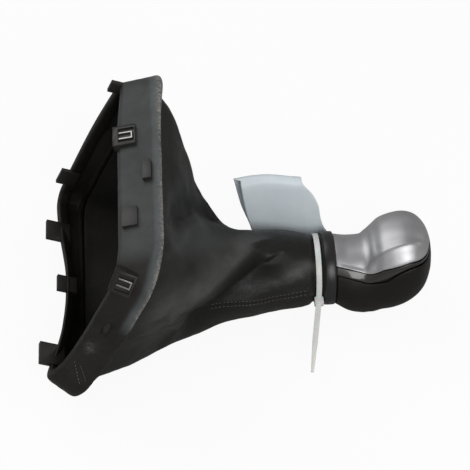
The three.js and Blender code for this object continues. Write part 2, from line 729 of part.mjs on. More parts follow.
// The pieces.
let band = wallRing(bandSection);
let frame = wallRing(frameSection);
for (const block of Object.values(blocks)) {
  frame = frame.add(wallBox(block));
  band = band.subtract(wallBox(block, GAP));
}
for (const name of ["front_far", "front_near", "rear_near"]) {
  frame = frame.subtract(pocketOf(blocks[name]));
  addPiece("spring_" + name, wireSpring(blocks[name]), 0x9a9a96, 0.35, 1);
}
addPiece("band_leather", mainBody(band), 0x3a3d3e, 0.6);
addPiece("gaiter_frame", frame, 0x161616, 0.5);
addPiece("gaiter", ringSolid(gaiterPanel(0, AROUND - 1)), 0x23221f, 0.65);
addPiece("collar_ring", turnedRing(collarProfile, 48, collarStart), 0x111111, 0.45);
const knobPlace = knobMatrix(knobStart).elements;
addPiece("knob_core", core.transform(knobPlace), 0x1a1a1a, 0.5);
addPiece("knob_cover", cover.transform(knobPlace), 0x9a9a9e, 0.35, 0.8);
addPiece("knob_strip", strip.transform(knobPlace), 0x0a0a0a, 0.15);
addPiece("knob_grip", grip.transform(knobPlace), 0x1d1b19, 0.55);
addPiece("cable_tie", turnedRing(tieProfile, 48, tieCentre).add(headBox).add(tieTail()), 0xd8d8d2, 0.4);
addPiece("tag", tag, 0xa5afb7, 0.45);

// Lay it down, with the middle of its box's bottom at the origin.
const part = new THREE.Group();
const lying = new THREE.Group();
lying.matrixAutoUpdate = false;
lying.matrix.makeBasis(
  new THREE.Vector3(Math.sin(tilt), 0, Math.cos(tilt)),
  new THREE.Vector3(0, -1, 0),
  new THREE.Vector3(Math.cos(tilt), 0, -Math.sin(tilt)),
);
lying.add(consoleGroup);
part.add(lying);
part.updateMatrixWorld(true);
const extent = new THREE.Box3().setFromObject(part, true);
const middle = extent.getCenter(new THREE.Vector3());
part.position.set(-middle.x, -middle.y, -extent.min.z);
part.updateMatrixWorld(true);
part.name = "gear_knob";

export default part;
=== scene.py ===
# %% [markdown]
# # A gear knob with its gaiter, lying on its back
# The part is a gear knob that has been lifted out of a car together with its leather gaiter. The packed
# CAD model is loaded first, because every piece below takes its place from it. Sizes are in millimetres
# until a piece is placed, and the last helper turns them into metres.

import math

import bmesh
import bpy
from mathutils import Matrix, Vector, kdtree, noise


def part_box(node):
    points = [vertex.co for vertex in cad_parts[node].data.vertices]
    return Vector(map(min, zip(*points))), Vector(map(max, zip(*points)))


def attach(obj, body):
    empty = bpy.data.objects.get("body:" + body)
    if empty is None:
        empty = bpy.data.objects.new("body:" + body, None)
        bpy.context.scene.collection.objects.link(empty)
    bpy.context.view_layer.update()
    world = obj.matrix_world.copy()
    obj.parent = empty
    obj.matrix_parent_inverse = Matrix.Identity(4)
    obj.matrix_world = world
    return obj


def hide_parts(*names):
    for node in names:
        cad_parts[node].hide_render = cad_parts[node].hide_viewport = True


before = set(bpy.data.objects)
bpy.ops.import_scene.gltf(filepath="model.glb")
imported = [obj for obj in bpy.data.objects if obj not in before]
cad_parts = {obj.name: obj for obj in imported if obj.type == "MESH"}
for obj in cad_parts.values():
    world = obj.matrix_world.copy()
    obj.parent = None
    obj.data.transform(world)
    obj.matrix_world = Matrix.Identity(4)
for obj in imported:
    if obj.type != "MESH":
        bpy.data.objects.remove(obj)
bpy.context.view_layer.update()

# %% [markdown]
# ## The console's own axes
# The part is easier to think of as it stands in the car: x to the knob's silver front, y across the car and
# z up along the lever. The part lies tilted by LYING_TILT, so one matrix takes a point from the car to the
# floor. Its shift comes from the collar ring, a plain round piece whose middle is known in both.

# %% From the car to the floor
MM = 0.001
LYING_TILT = math.radians(22.5)
NECK_AT = Vector((14.6, 3, 131))
NECK_AXIS = Vector((0.39, -0.03, 1)).normalized()
TIE_FROM_COLLAR = 3.5
COLLAR_LENGTH = 7.5
COLLAR_RADIUS = 24.0
GAP = 0.3

sin_t, cos_t = math.sin(LYING_TILT), math.cos(LYING_TILT)
turn = Matrix(((sin_t, 0, cos_t), (0, -1, 0), (cos_t, 0, -sin_t)))
neck_top = NECK_AT + NECK_AXIS * TIE_FROM_COLLAR
collar_start = neck_top + NECK_AXIS * GAP
collar_middle = collar_start + NECK_AXIS * (COLLAR_LENGTH / 2)
low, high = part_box("collar_ring")
shift = (Vector(low) + Vector(high)) / 2 / MM - turn @ collar_middle


def on_floor(point):
    """A point of the car, in millimetres, as a point on the floor, in metres."""
    return (turn @ Vector(point) + shift) * MM


print("shift in mm", [round(v, 2) for v in shift])

# %% [markdown]
# ## The camera
# A long lens from well above keeps the shapes as square to each other as the photograph does. The camera
# stands nearly over the part's near side and looks down at about 51 degrees.

# %% Camera
AZIMUTH, ELEVATION, ROLL = math.radians(-2.21), math.radians(50.95), math.radians(-0.39)
TARGET = (Vector((73.9965, -2.1889, 0)) + shift) * MM
CAMERA_AWAY, SENSOR_MM, LENS_MM = 1.5, 36, 179.2

back = Vector(
    (math.sin(AZIMUTH) * math.cos(ELEVATION), -math.cos(AZIMUTH) * math.cos(ELEVATION), math.sin(ELEVATION))
)
camera_data = bpy.data.cameras.new("camera")
camera_data.sensor_width = SENSOR_MM
camera_data.lens = LENS_MM
camera = bpy.data.objects.new("camera", camera_data)
bpy.context.collection.objects.link(camera)
camera.rotation_mode = "QUATERNION"
camera.location = TARGET + back * CAMERA_AWAY
camera.rotation_quaternion = (-back).to_track_quat("-Z", "Y") @ Matrix.Rotation(ROLL, 4, "Z").to_quaternion()
camera_data.clip_start, camera_data.clip_end = 0.05, 20
bpy.context.scene.camera = camera
print("camera at", [round(v, 3) for v in camera.location])

# %% [markdown]
# ## Node helpers
# Three small helpers build every node material below: an empty material, a node with its values set, and a
# link between two nodes.

# %% Node helpers
def new_material(name):
    """A material with an empty node tree."""
    material = bpy.data.materials.new(name)
    material.use_nodes = True
    material.node_tree.nodes.clear()
    return material


def add_node(material, kind, **settings):
    """A node of that kind, with its properties and its inputs' plain values set."""
    made = material.node_tree.nodes.new(kind)
    for key, value in settings.items():
        if hasattr(made, key):
            setattr(made, key, value)
        else:
            made.inputs[key.replace("_", " ")].default_value = value
    return made


def join(material, source, output, target, socket):
    material.node_tree.links.new(source.outputs[output], target.inputs[socket])


print("node helpers ready")

# %% [markdown]
# ## Floor
# The floor is a plain pale sheet. The camera sees it mostly by its own light, so that it looks white and
# still keeps the part's soft shadow. What it throws back at the part is weaker, so the dark leather stays
# dark below.

# %% Floor
FLOOR_HALF = 4
FLOOR_GREY = 0.42
GLOW_SHARE, GLOW_STRENGTH = 0.82, 1.12

bm = bmesh.new()
bmesh.ops.create_grid(bm, x_segments=2, y_segments=2, size=FLOOR_HALF)
floor_mesh = bpy.data.meshes.new("floor")
bm.to_mesh(floor_mesh)
bm.free()
floor = bpy.data.objects.new("floor", floor_mesh)
bpy.context.collection.objects.link(floor)
floor_paint = new_material("floor_paint")
floor_shader = add_node(floor_paint, "ShaderNodeBsdfDiffuse", Color=(FLOOR_GREY, FLOOR_GREY, FLOOR_GREY, 1))
floor_glow = add_node(floor_paint, "ShaderNodeEmission", Color=(1, 1, 1, 1), Strength=GLOW_STRENGTH)
floor_mix = add_node(floor_paint, "ShaderNodeMixShader")
rays = add_node(floor_paint, "ShaderNodeLightPath")
share = add_node(floor_paint, "ShaderNodeMath", operation="MULTIPLY")
share.inputs[1].default_value = GLOW_SHARE
floor_out = add_node(floor_paint, "ShaderNodeOutputMaterial")
join(floor_paint, rays, "Is Camera Ray", share, 0)
join(floor_paint, share, 0, floor_mix, 0)
join(floor_paint, floor_shader, 0, floor_mix, 1)
join(floor_paint, floor_glow, 0, floor_mix, 2)
join(floor_paint, floor_mix, 0, floor_out, 0)
floor.data.materials.append(floor_paint)
print("floor", 2 * FLOOR_HALF, "m wide")

# %% [markdown]
# ## Light
# The light is soft and comes from two sides: a broad lamp behind and above shows the leather's front wall,
# and one near the camera shows the silver cover. A weak lamp at the side and a dim sky fill the rest.

# %% Light
SKY_STRENGTH = 0.3
LOOK_AT = Vector((0, 0, 0.06))
# Place in metres, size in metres and power in watts.
LAMPS = {
    "key_lamp": ((-0.6, 0.6, 0.95), 1.0, 6),
    "side_lamp": ((1.2, 0.2, 0.6), 0.8, 1),
    "near_lamp": ((0.35, -1.0, 0.9), 0.8, 9.5),
}

bpy.context.scene.view_settings.view_transform = "Standard"
world = bpy.data.worlds.new("world")
bpy.context.scene.world = world
world.use_nodes = True
world.node_tree.nodes["Background"].inputs["Color"].default_value = (1, 1, 1, 1)
world.node_tree.nodes["Background"].inputs["Strength"].default_value = SKY_STRENGTH
for name, (place, size, power) in LAMPS.items():
    data = bpy.data.lights.new(name, "AREA")
    data.size, data.energy = size, power
    lamp = bpy.data.objects.new(name, data)
    lamp.location = place
    lamp.rotation_mode = "QUATERNION"
    lamp.rotation_quaternion = (LOOK_AT - Vector(place)).to_track_quat("-Z", "Y")
    bpy.context.collection.objects.link(lamp)
print("sky and", len(LAMPS), "lamps")

# %% [markdown]
# ## Helpers for finishes
# Each finish is a Principled shader. Its colour comes from a noise between a dark and a light tone, and its
# grain is a bump. All patterns read Object coordinates, so they stay on the piece from any side.

# %% Finish helpers
def principled(material, **values):
    """The material's main shader, with plain numbers on its own sockets."""
    shader = material.node_tree.nodes.new("ShaderNodeBsdfPrincipled")
    for key, value in values.items():
        shader.inputs[key.replace("_", " ")].default_value = value
    out = material.node_tree.nodes.new("ShaderNodeOutputMaterial")
    join(material, shader, 0, out, 0)
    return shader


def noise_field(material, scale, detail=4.0, roughness=0.55):
    """A noise over Object coordinates."""
    point = add_node(material, "ShaderNodeTexCoord")
    field = add_node(material, "ShaderNodeTexNoise", Scale=scale, Detail=detail, Roughness=roughness)
    join(material, point, "Object", field, "Vector")
    return field


def ramp(material, source, output, stops):
    """A colour ramp over a field; stops are (place, colour)."""
    node = add_node(material, "ShaderNodeValToRGB")
    elements = node.color_ramp.elements
    for k, (place, colour) in enumerate(stops):
        element = elements[k] if k < 2 else elements.new(place)
        element.position, element.color = place, (*colour, 1)
    join(material, source, output, node, 0)
    return node


def bump(material, source, output, distance, strength=1.0, under=None):
    """A bump from a field, on top of another bump if one is given."""
    node = add_node(material, "ShaderNodeBump", Distance=distance, Strength=strength)
    join(material, source, output, node, "Height")
    if under is not None:
        join(material, under, 0, node, "Normal")
    return node


def uneven_gloss(material, shader, tone, low, high):
    """The shader's roughness follows the tone, from low to high."""
    rough = add_node(material, "ShaderNodeMapRange", To_Min=low, To_Max=high)
    join(material, tone, "Fac", rough, "Value")
    join(material, rough, 0, shader, "Roughness")


print("finish helpers ready")

# %% [markdown]
# ## Leather
# Real gaiter leather is a thin dyed hide: small rounded cells with creases between them, a soft sheen, and
# slow changes of tone where hands have rubbed it. A Voronoi pattern gives the cells, warped by a fine noise so
# that they look grown, and a slow noise gives the tone.

# %% Leather finish
TONE_SCALE, WARP_SCALE, WAVES_SCALE = 28, 260, 90
WARP_REACH, WAVES_HIGH = 1.6 * MM, 0.8 * MM
CELL_EDGE = 0.35


def leather(name, dark, light, roughness, cell, depth, sheen=0.0, gloss=0.3):
    """Dyed leather: cell is the grain's size in millimetres, depth its height."""
    material = new_material(name)
    shader = principled(material, Roughness=roughness, Sheen_Weight=sheen, Sheen_Roughness=0.5)
    shader.inputs["Specular IOR Level"].default_value = gloss
    tone = noise_field(material, TONE_SCALE, 5, 0.6)
    colours = ramp(material, tone, "Fac", [(0.3, dark), (0.7, light)])
    warp = noise_field(material, WARP_SCALE, 2)
    point = add_node(material, "ShaderNodeTexCoord")
    moved = add_node(material, "ShaderNodeVectorMath", operation="MULTIPLY_ADD")
    moved.inputs[1].default_value = (WARP_REACH, WARP_REACH, WARP_REACH)
    join(material, warp, "Color", moved, 0)
    join(material, point, "Object", moved, 2)
    cells = add_node(material, "ShaderNodeTexVoronoi", feature="DISTANCE_TO_EDGE", Scale=1 / (cell * MM))
    join(material, moved, 0, cells, "Vector")
    rounded = ramp(material, cells, "Distance", [(0.0, (0, 0, 0)), (CELL_EDGE, (1, 1, 1))])
    slow = bump(material, noise_field(material, WAVES_SCALE, 4), "Fac", WAVES_HIGH, 0.35)
    grain = bump(material, rounded, "Color", depth * MM, 0.8, slow)
    join(material, grain, 0, shader, "Normal")
    join(material, colours, 0, shader, "Base Color")
    uneven_gloss(material, shader, tone, roughness - 0.08, roughness + 0.12)
    return material


gaiter_leather = leather(
    "gaiter_leather", (0.0045, 0.0042, 0.0033), (0.0125, 0.012, 0.0105), 0.42, 0.9, 0.10, sheen=0.02
)
grip_leather = leather("grip_leather", (0.005, 0.0042, 0.0033), (0.010, 0.0085, 0.007), 0.42, 0.8, 0.08, gloss=0.26)
print("leather made")

# %% [markdown]
# ## Simple finishes
# Moulded plastic, spring steel, satin silver and nylon share one recipe: an uneven tone, a slightly uneven
# gloss and a fine texture. The last lines give every node of the CAD model its finish.

# %% Simple finishes
def plastic(name, dark, light, roughness, scale=400, depth=0.02, **more):
    """Moulded plastic with a fine texture and slightly uneven gloss."""
    material = new_material(name)
    shader = principled(material, Roughness=roughness, **more)
    tone = noise_field(material, 45, 4)
    join(material, ramp(material, tone, "Fac", [(0.35, dark), (0.65, light)]), 0, shader, "Base Color")
    uneven_gloss(material, shader, tone, roughness - 0.06, roughness + 0.08)
    fine = noise_field(material, scale, 3)
    join(material, bump(material, fine, "Fac", depth * MM, 0.6), 0, shader, "Normal")
    return material


band_leather = leather("band_leather", (0.007, 0.006, 0.0045), (0.017, 0.0155, 0.013), 0.48, 0.8, 0.08)
frame_plastic = plastic("frame_plastic", (0.009, 0.0075, 0.007), (0.02, 0.0175, 0.016), 0.45)
collar_plastic = plastic("collar_plastic", (0.008, 0.008, 0.008), (0.016, 0.016, 0.016), 0.35)
gloss_strip = plastic(
    "gloss_strip", (0.014, 0.013, 0.012), (0.024, 0.022, 0.02), 0.24, 60, 0.004, Coat_Weight=0.6
)
satin_silver = plastic("satin_silver", (0.42, 0.42, 0.43), (0.50, 0.50, 0.51), 0.42, 1500, 0.004, Metallic=0.8)
clip_steel = plastic("clip_steel", (0.36, 0.35, 0.33), (0.5, 0.49, 0.47), 0.38, 500, 0.006, Metallic=1.0)
tie_nylon = plastic(
    "tie_nylon", (0.68, 0.68, 0.65), (0.78, 0.78, 0.75), 0.4, 300, 0.01,
    Subsurface_Weight=0.4, Subsurface_Scale=0.003,
)
tag_sheet = plastic("tag_sheet", (0.66, 0.735, 0.78), (0.72, 0.79, 0.83), 0.45, 300, 0.006)
FINISH = {
    "band_leather": band_leather, "gaiter_frame": frame_plastic, "gaiter": gaiter_leather,
    "spring_front_far": clip_steel, "spring_front_near": clip_steel, "spring_rear_near": clip_steel,
    "collar_ring": collar_plastic, "knob_core": frame_plastic, "knob_cover": satin_silver,
    "knob_strip": gloss_strip, "knob_grip": grip_leather, "cable_tie": tie_nylon, "tag": tag_sheet,
}
for name, finish in FINISH.items():
    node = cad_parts[name]
    node.data.materials.clear()
    node.data.materials.append(finish)
print(len(FINISH), "nodes finished")

# %% [markdown]
# ## Painted sheen, wear and a painted dark slot on the band
# The band's front wall and the roll over the ridge get a blue-grey painted sheen, and the dye has rubbed off
# along the ridge, where the band met the console. On the near wall the leather gapes in a slot that is painted
# near-black as shade. The mesh carries the three places as attributes for the sheen, the wear and the slot, and
# noises break the first two up into patches and small scuffs.

# %% Painted sheen, worn leather and painted slot shade
def patches(material, scale, detail, low, high, roughness=0.55):
    """A noise between two greys; low and high are the noise's value and the grey there."""
    stops = [(place, (grey,) * 3) for place, grey in (low, high)]
    return ramp(material, noise_field(material, scale, detail, roughness), "Fac", stops)


def add_layer(material, colour, attribute, *patterns):
    """Lays a plain colour over the material where the vertex attribute, times the patterns, is high."""
    mask, output = add_node(material, "ShaderNodeAttribute", attribute_name=attribute), "Fac"
    for pattern in patterns:
        product = add_node(material, "ShaderNodeMath", operation="MULTIPLY")
        join(material, mask, output, product, 0)
        join(material, pattern, 0, product, 1)
        mask, output = product, 0
    shader = next(n for n in material.node_tree.nodes if n.type == "BSDF_PRINCIPLED")
    plain = shader.inputs["Base Color"].links[0].from_socket
    mixed = add_node(material, "ShaderNodeMix", data_type="RGBA")
    join(material, mask, output, mixed, "Factor")
    material.node_tree.links.new(plain, mixed.inputs[6])
    mixed.inputs[7].default_value = (*colour, 1)
    material.node_tree.links.new(mixed.outputs[2], shader.inputs["Base Color"])


# A blue-grey painted sheen on the front wall and the roll over the ridge, broken into patches.
sheen_patches = patches(band_leather, 60, 5, (0.3, 0.6), (0.65, 1.1))
add_layer(band_leather, (0.080, 0.090, 0.092), "painted_sheen", sheen_patches)
scuffs = patches(band_leather, 520, 6, (0.42, 0.08), (0.58, 1), roughness=0.7)
areas = patches(band_leather, 38, 3, (0.3, 0.5), (0.55, 1))
add_layer(band_leather, (0.34, 0.32, 0.29), "wear", scuffs, areas)
# The slot is painted near-black: painted shade inside the gap.
add_layer(band_leather, (0.0008, 0.0007, 0.0006), "slot")
print("band's leather layered")

# %% [markdown]
# ## Painted highlight and shade on the gaiter's folds
# The gaiter's folds get a grey painted highlight along their tops and a dark painted shade in their hollows.
# The mesh carries the two as attributes.

# %% Painted highlight and shade on the folds
highlight_patches = patches(gaiter_leather, 70, 5, (0.3, 0.45), (0.65, 1))
# A grey painted highlight along the folds' tops.
add_layer(gaiter_leather, (0.068, 0.069, 0.066), "fold_highlight", highlight_patches)
# A dark painted shade in the folds' hollows.
add_layer(gaiter_leather, (0.0022, 0.002, 0.0016), "fold_shade")
print("gaiter's leather layered")

# %% [markdown]
# ## Helpers for sizes
# Tables hold a shape's sizes along its length, as a loft's sections do in CAD. The curve that joins them is
# a cubic Hermite spline, so a section in between is smooth.

# %% Size helpers
def mix(a, b, t):
    return a + (b - a) * t


def clamp(x, low=0.0, high=1.0):
    return min(high, max(low, x))


def smooth(x):
    t = clamp(x)
    return t * t * (3 - 2 * t)


def read_table(table, x):
    """The values of a table of (x, value, value ...) rows at x."""
    i = 0
    while i < len(table) - 2 and x > table[i + 1][0]:
        i += 1
    a, b = table[i], table[i + 1]
    before = table[i - 1] if i else a
    after = table[i + 2] if i + 2 < len(table) else b
    span = b[0] - a[0]
    t = clamp((x - a[0]) / span)
    t2, t3 = t * t, t * t * t
    values = []
    for k in range(1, len(a)):
        slope_in = (b[k] - before[k]) / (b[0] - before[0]) * span
        slope_out = (after[k] - a[k]) / (after[0] - a[0]) * span
        values.append(
            a[k] * (2 * t3 - 3 * t2 + 1)
            + slope_in * (t3 - 2 * t2 + t)
            + b[k] * (3 * t2 - 2 * t3)
            + slope_out * (t3 - t2)
        )
    return values


print("a table's value half way:", read_table([(0, 1), (1, 3), (2, 2)], 0.5))

# %% [markdown]
# ## Helpers for meshes
# A skin is drawn as one row of points that is extruded again and again, each new row moved to its own place.
# The others turn a bmesh into an object, add and apply modifiers, and say which CAD node a piece stands for.

# %% Mesh helpers
def skin(bm, rows, around=True):
    """A surface over rows of points, extruded row by row; around joins each row's ends."""
    verts = [bm.verts.new(place) for place in rows[0]]
    count = len(verts)
    pairs = [(k, (k + 1) % count) for k in range(count if around else count - 1)]
    edges = [bm.edges.new((verts[a], verts[b])) for a, b in pairs]
    for row in rows[1:]:
        made = bmesh.ops.extrude_edge_only(bm, edges=edges)["geom"]
        fresh = {g for g in made if isinstance(g, bmesh.types.BMVert)}
        verts = [next(e.other_vert(v) for e in v.link_edges if e.other_vert(v) in fresh) for v in verts]
        edges = [bm.edges.get((verts[a], verts[b])) for a, b in pairs]
        for vert, place in zip(verts, row):
            vert.co = place
    return verts


def new_object(bm, name, *materials, merge=1e-6, outwards=True):
    """The bmesh as a smooth-shaded object at the origin."""
    bmesh.ops.remove_doubles(bm, verts=bm.verts, dist=merge)
    if outwards:
        bmesh.ops.recalc_face_normals(bm, faces=bm.faces)
    mesh = bpy.data.meshes.new(name)
    bm.to_mesh(mesh)
    bm.free()
    mesh.shade_smooth()
    for material in materials:
        mesh.materials.append(material)
    made = bpy.data.objects.new(name, mesh)
    bpy.context.collection.objects.link(made)
    return made


def add_modifier(piece, kind, **settings):
    modifier = piece.modifiers.new(kind.lower(), kind)
    for key, value in settings.items():
        setattr(modifier, key, value)


def apply_modifiers(piece):
    """The piece's mesh becomes what its modifiers make of it."""
    graph = bpy.context.evaluated_depsgraph_get()
    mesh = bpy.data.meshes.new_from_object(piece.evaluated_get(graph))
    piece.modifiers.clear()
    piece.data = mesh


def belongs(piece, node):
    """The piece rides on the part and stands for the CAD node."""
    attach(piece, "root")
    if node:
        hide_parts(node)
    print(piece.name, len(piece.data.polygons), "faces")


print("mesh helpers ready")

# %% [markdown]
# ## The frame's outline
# The gaiter's frame is a rounded rectangle whose walls lean in from the ridge down. It is warped a little:
# the rear side is bowed in, the far side bowed out, and two corners are pulled out of the flat outline. Every
# loop round the frame goes through the same function, so the pieces on it stay together.

# %% The frame's outline
FRAME_X, FRAME_Y, FRAME_DEPTH = 145.0, 168.0, 20.5
FRAME_CORNERS = (32.0, 26.0, 19.0, 19.0)
DRAFT_X, DRAFT_Y = 13.7, 4.4
REAR_BOW, REAR_REACH = 13.0, 8.0
FAR_BOW = 3.5
# Where a corner is pulled out, over what reach, and by how much.
SWELLS = [
    (-0.44 * FRAME_X, 0.46 * FRAME_Y, 24.0, Vector((0, 4.5, -7.5))),
    (0.44 * FRAME_X, -0.46 * FRAME_Y, 26.0, Vector((1, -4, 3))),
]
CORNER_STEPS, SIDE_STEPS = 15, 25
# A corner's radius shrinks this much down the wall, but never below the least one.
CORNER_LOSS, LEAST_CORNER = 6, 3.0


def rounded_rectangle(half_x, half_y, radii):
    """Points round a rectangle with a radius of its own at each corner."""
    points = []
    signs = [(1, 1), (-1, 1), (-1, -1), (1, -1)]
    for c, (sx, sy) in enumerate(signs):
        nx, ny = signs[(c + 1) % 4]
        corner, after = radii[c], radii[(c + 1) % 4]
        x, y = sx * (half_x - corner), sy * (half_y - corner)
        next_x, next_y = nx * (half_x - after), ny * (half_y - after)
        start = math.radians(90 * c)
        for k in range(CORNER_STEPS):
            angle = start + math.pi / 2 * k / CORNER_STEPS
            points.append((x + corner * math.cos(angle), y + corner * math.sin(angle)))
        ox, oy = math.cos(start + math.pi / 2), math.sin(start + math.pi / 2)
        for k in range(SIDE_STEPS):
            t = k / SIDE_STEPS
            points.append((mix(x + corner * ox, next_x + after * ox, t), mix(y + corner * oy, next_y + after * oy, t)))
    return points


def wall_loop(inset, z):
    """The outline at a height, that far inside the outer face."""
    down = clamp(-z / FRAME_DEPTH, 0, 1.2)
    radii = [max(LEAST_CORNER, radius - CORNER_LOSS * down - inset) for radius in FRAME_CORNERS]
    half_x, half_y = FRAME_X / 2 - DRAFT_X * down - inset, FRAME_Y / 2 - DRAFT_Y * down - inset
    loop = []
    for x, y in rounded_rectangle(half_x, half_y, radii):
        rear = smooth(-x / (FRAME_X * 0.3))
        bow = mix(-REAR_REACH, REAR_BOW, math.exp(-(((y - FRAME_Y * 0.08) / (FRAME_Y * 0.31)) ** 2)))
        far = smooth(-y / (FRAME_Y * 0.3)) * FAR_BOW * math.exp(-((x / (FRAME_X * 0.3)) ** 2))
        bowed = Vector((x + bow * down * rear, y - far * down, z))
        moved = bowed.copy()
        for at_x, at_y, swell_reach, by in SWELLS:
            away = math.hypot(bowed.x - at_x, bowed.y - at_y) / swell_reach
            moved += by * math.exp(-away * away)
        loop.append(moved)
    half_side = SIDE_STEPS // 2
    return loop[-half_side:] + loop[:-half_side]


AROUND = len(wall_loop(0, 0))
print("points round the frame", AROUND)

# %% [markdown]
# ## The gaiter
# The gaiter is soft leather sewn into a sleeve: wide at the frame, narrow at the collar, and slack in
# between, where it falls into a few long folds. It could be draped by a cloth simulation, but the folds
# must lie where they do on this one, so they are lines with a height and a width that push the skin in or
# out. Slow noise adds the small unevenness of worn leather.

# %% The gaiter's sizes and folds
NECK_RADIUS = 22.3
# Share of the length; how far the form keeps to the hem at the front, near side, rear and far side; radius.
GAITER_SHAPE = [
    (0, 1, 1, 1, 1, 30),
    (0.06, 0.955, 0.95, 0.945, 0.96, 30),
    (0.18, 0.82, 0.75, 0.73, 0.79, 30),
    (0.32, 0.52, 0.43, 0.45, 0.33, 30),
    (0.45, 0.21, 0.26, 0.26, 0.11, 29),
    (0.56, 0.04, 0.14, 0.11, -0.08, 28.2),
    (0.68, 0.01, 0.07, 0.03, -0.05, 27.4),
    (0.8, 0, 0.01, 0, 0, 26.2),
    (0.9, 0, 0, 0, 0, 24.6),
    (0.944, 0, 0, 0, 0, NECK_RADIUS + 0.8),
    (0.957, 0, 0, 0, 0, NECK_RADIUS - 0.9),
    (0.997, 0, 0, 0, 0, NECK_RADIUS - 0.9),
    (1, 0, 0, 0, 0, NECK_RADIUS + 0.2),
]
# Height, one width or two for a fold's two sides, and the fold's line in degrees and shares of the length.
FOLDS = [
    (6.5, (14, 5.5), [(76, 0.27), (70, 0.33), (57, 0.46), (38, 0.57), (16, 0.67)]),
    (-5, (5, 12), [(90, 0.40), (72, 0.53), (48, 0.65), (28, 0.74)]),
    (-1.5, 4, [(84, 0.33), (93, 0.36)]),
    (-5.5, (4, 7), [(12, 0.15), (3, 0.25), (-12, 0.39), (-24, 0.46)]),
    (-4, (4, 6), [(8, 0.17), (-8, 0.29), (-29, 0.38)]),
    (3.4, 6, [(28, 0.12), (14, 0.24), (4, 0.34)]),
    (2.6, (5, 3), [(84, 0.27), (98, 0.35), (112, 0.31)]),
    (-2, 6, [(62, 0.16), (70, 0.25), (84, 0.28)]),
    (1.4, 4, [(-29, 0.29), (-28, 0.33)]),
    (0.8, 10, [(28, 0.9), (40, 0.92)]),
]
# Where the folds' tops get a painted highlight and where their hollows get a painted shade, as shares from 0 to 1.
FOLD_HIGHLIGHT = [
    (1.0, (15, 4), [(72, 0.25), (67, 0.33), (54, 0.45), (35, 0.56), (13, 0.66)]),
    (0.5, 9, [(82, 0.18), (90, 0.28)]),
    (0.45, 9, [(24, 0.14), (18, 0.28), (14, 0.4)]),
    (0.8, 7, [(42, 0.88), (34, 0.92)]),
]
FOLD_SHADE = [
    (1.0, (4, 12), [(94, 0.40), (80, 0.49), (62, 0.59), (34, 0.7)]),
    (1.0, (4, 6), [(12, 0.14), (3, 0.25), (-12, 0.39), (-28, 0.48)]),
    (0.8, 6, [(-9, 0.14), (-9, 0.25), (-14, 0.33)]),
]
SEAM = [(92, 0.12), (89, 0.35), (86, 0.48), (83.5, 0.61), (81, 0.73), (77.5, 0.87), (76, 0.944)]
FAR_SEAM = [(-31, 0.2), (-28, 0.3), (-31, 0.42), (-44, 0.6)]
SEAM_FORM = [(-0.7, 0.9, SEAM), (0.5, 3.2, SEAM), (-0.6, 0.9, FAR_SEAM), (0.7, 2.6, FAR_SEAM)]
FOLD_AROUND, FOLD_ALONG = 40.0, 125.0
print(len(FOLDS), "folds and", len(SEAM_FORM), "seam lines")

# %% [markdown]
# ## The gaiter's form
# A point of the gaiter is asked for by its angle round the sleeve and its share of the way up. The hem's
# outline turns into a circle on the way, round a bent middle line, and the folds and the noise then push the
# point out or in.

# %% The gaiter's surface
HEM_Z, HEM_INSET = -1.7, 8.3
BEND_BELOW_NECK, BEND_ASIDE = 78, 4
# The small waves' height in millimetres and how close they lie.
WAVES = ((0.9, 0.045), (0.45, 0.11), (0.15, 0.3))
hem_loop = wall_loop(HEM_INSET, HEM_Z)
bend = neck_top - NECK_AXIS * BEND_BELOW_NECK + Vector((0, BEND_ASIDE, 0))


def fold_height(degrees, t, folds):
    """How far the folds push the leather out; a pair of widths makes a fold steeper on one side."""
    total = 0.0
    for height, width, line in folds:
        nearest, side = 1e9, 0
        wide = width if isinstance(width, tuple) else (width, width)
        for (a0, t0), (a1, t1) in zip(line, line[1:]):
            off = (degrees - a0 + 540) % 360 - 180
            here = Vector((math.radians(off) * FOLD_AROUND, (t - t0) * FOLD_ALONG))
            run = Vector((math.radians(a1 - a0) * FOLD_AROUND, (t1 - t0) * FOLD_ALONG))
            share = clamp(here.dot(run) / run.length_squared)
            away = (here - run * share).length
            if away < nearest:
                nearest, side = away, run.x * here.y - run.y * here.x
        total += height * math.exp(-((nearest / wide[0 if side > 0 else 1]) ** 2))
    return total


def gaiter_point(degrees, t, out=0.0):
    """A point of the gaiter's outer face, moved outwards by out."""
    place = (degrees % 360) / 360 * AROUND
    i, part = int(place) % AROUND, place - int(place)
    hem_here = hem_loop[i].lerp(hem_loop[(i + 1) % AROUND], part)
    front, near, rear, far, radius = read_table(GAITER_SHAPE, t)
    c, s = math.cos(math.radians(degrees)), math.sin(math.radians(degrees))
    along = (front if c > 0 else rear) * c * c + (near if s > 0 else far) * s * s
    x = along * hem_here.x + (1 - along) * radius * c
    y = along * hem_here.y + (1 - along) * radius * s
    centre = Vector((0, 0, HEM_Z)) * (1 - t) ** 2 + bend * 2 * t * (1 - t) + neck_top * t * t
    up = Vector((0, 0, 1)).lerp(NECK_AXIS, smooth(t * 1.2)).normalized()
    sideways = (Vector((0, 1, 0)) - up * up.y).normalized()
    forward = sideways.cross(up)
    slack = smooth(t / 0.1) * (1 - smooth((t - 0.9) / 0.045))
    sewn = smooth(t / 0.05) * (1 - smooth((t - 0.94) / 0.012))
    flat_place = Vector((x, y, t * FOLD_ALONG))
    wave = sum(height * noise.noise(flat_place * close) for height, close in WAVES)
    push = (fold_height(degrees, t, FOLDS) + wave) * slack + fold_height(degrees, t, SEAM_FORM) * sewn
    grow = 1 + (push + out) / math.hypot(x, y)
    sag = (hem_here.z - HEM_Z) * (1 - smooth((t - 0.05) / 0.35))
    return centre + forward * x * grow + sideways * y * grow + up * sag


print("the gaiter's hem starts at", [round(v, 1) for v in gaiter_point(0, 0)])

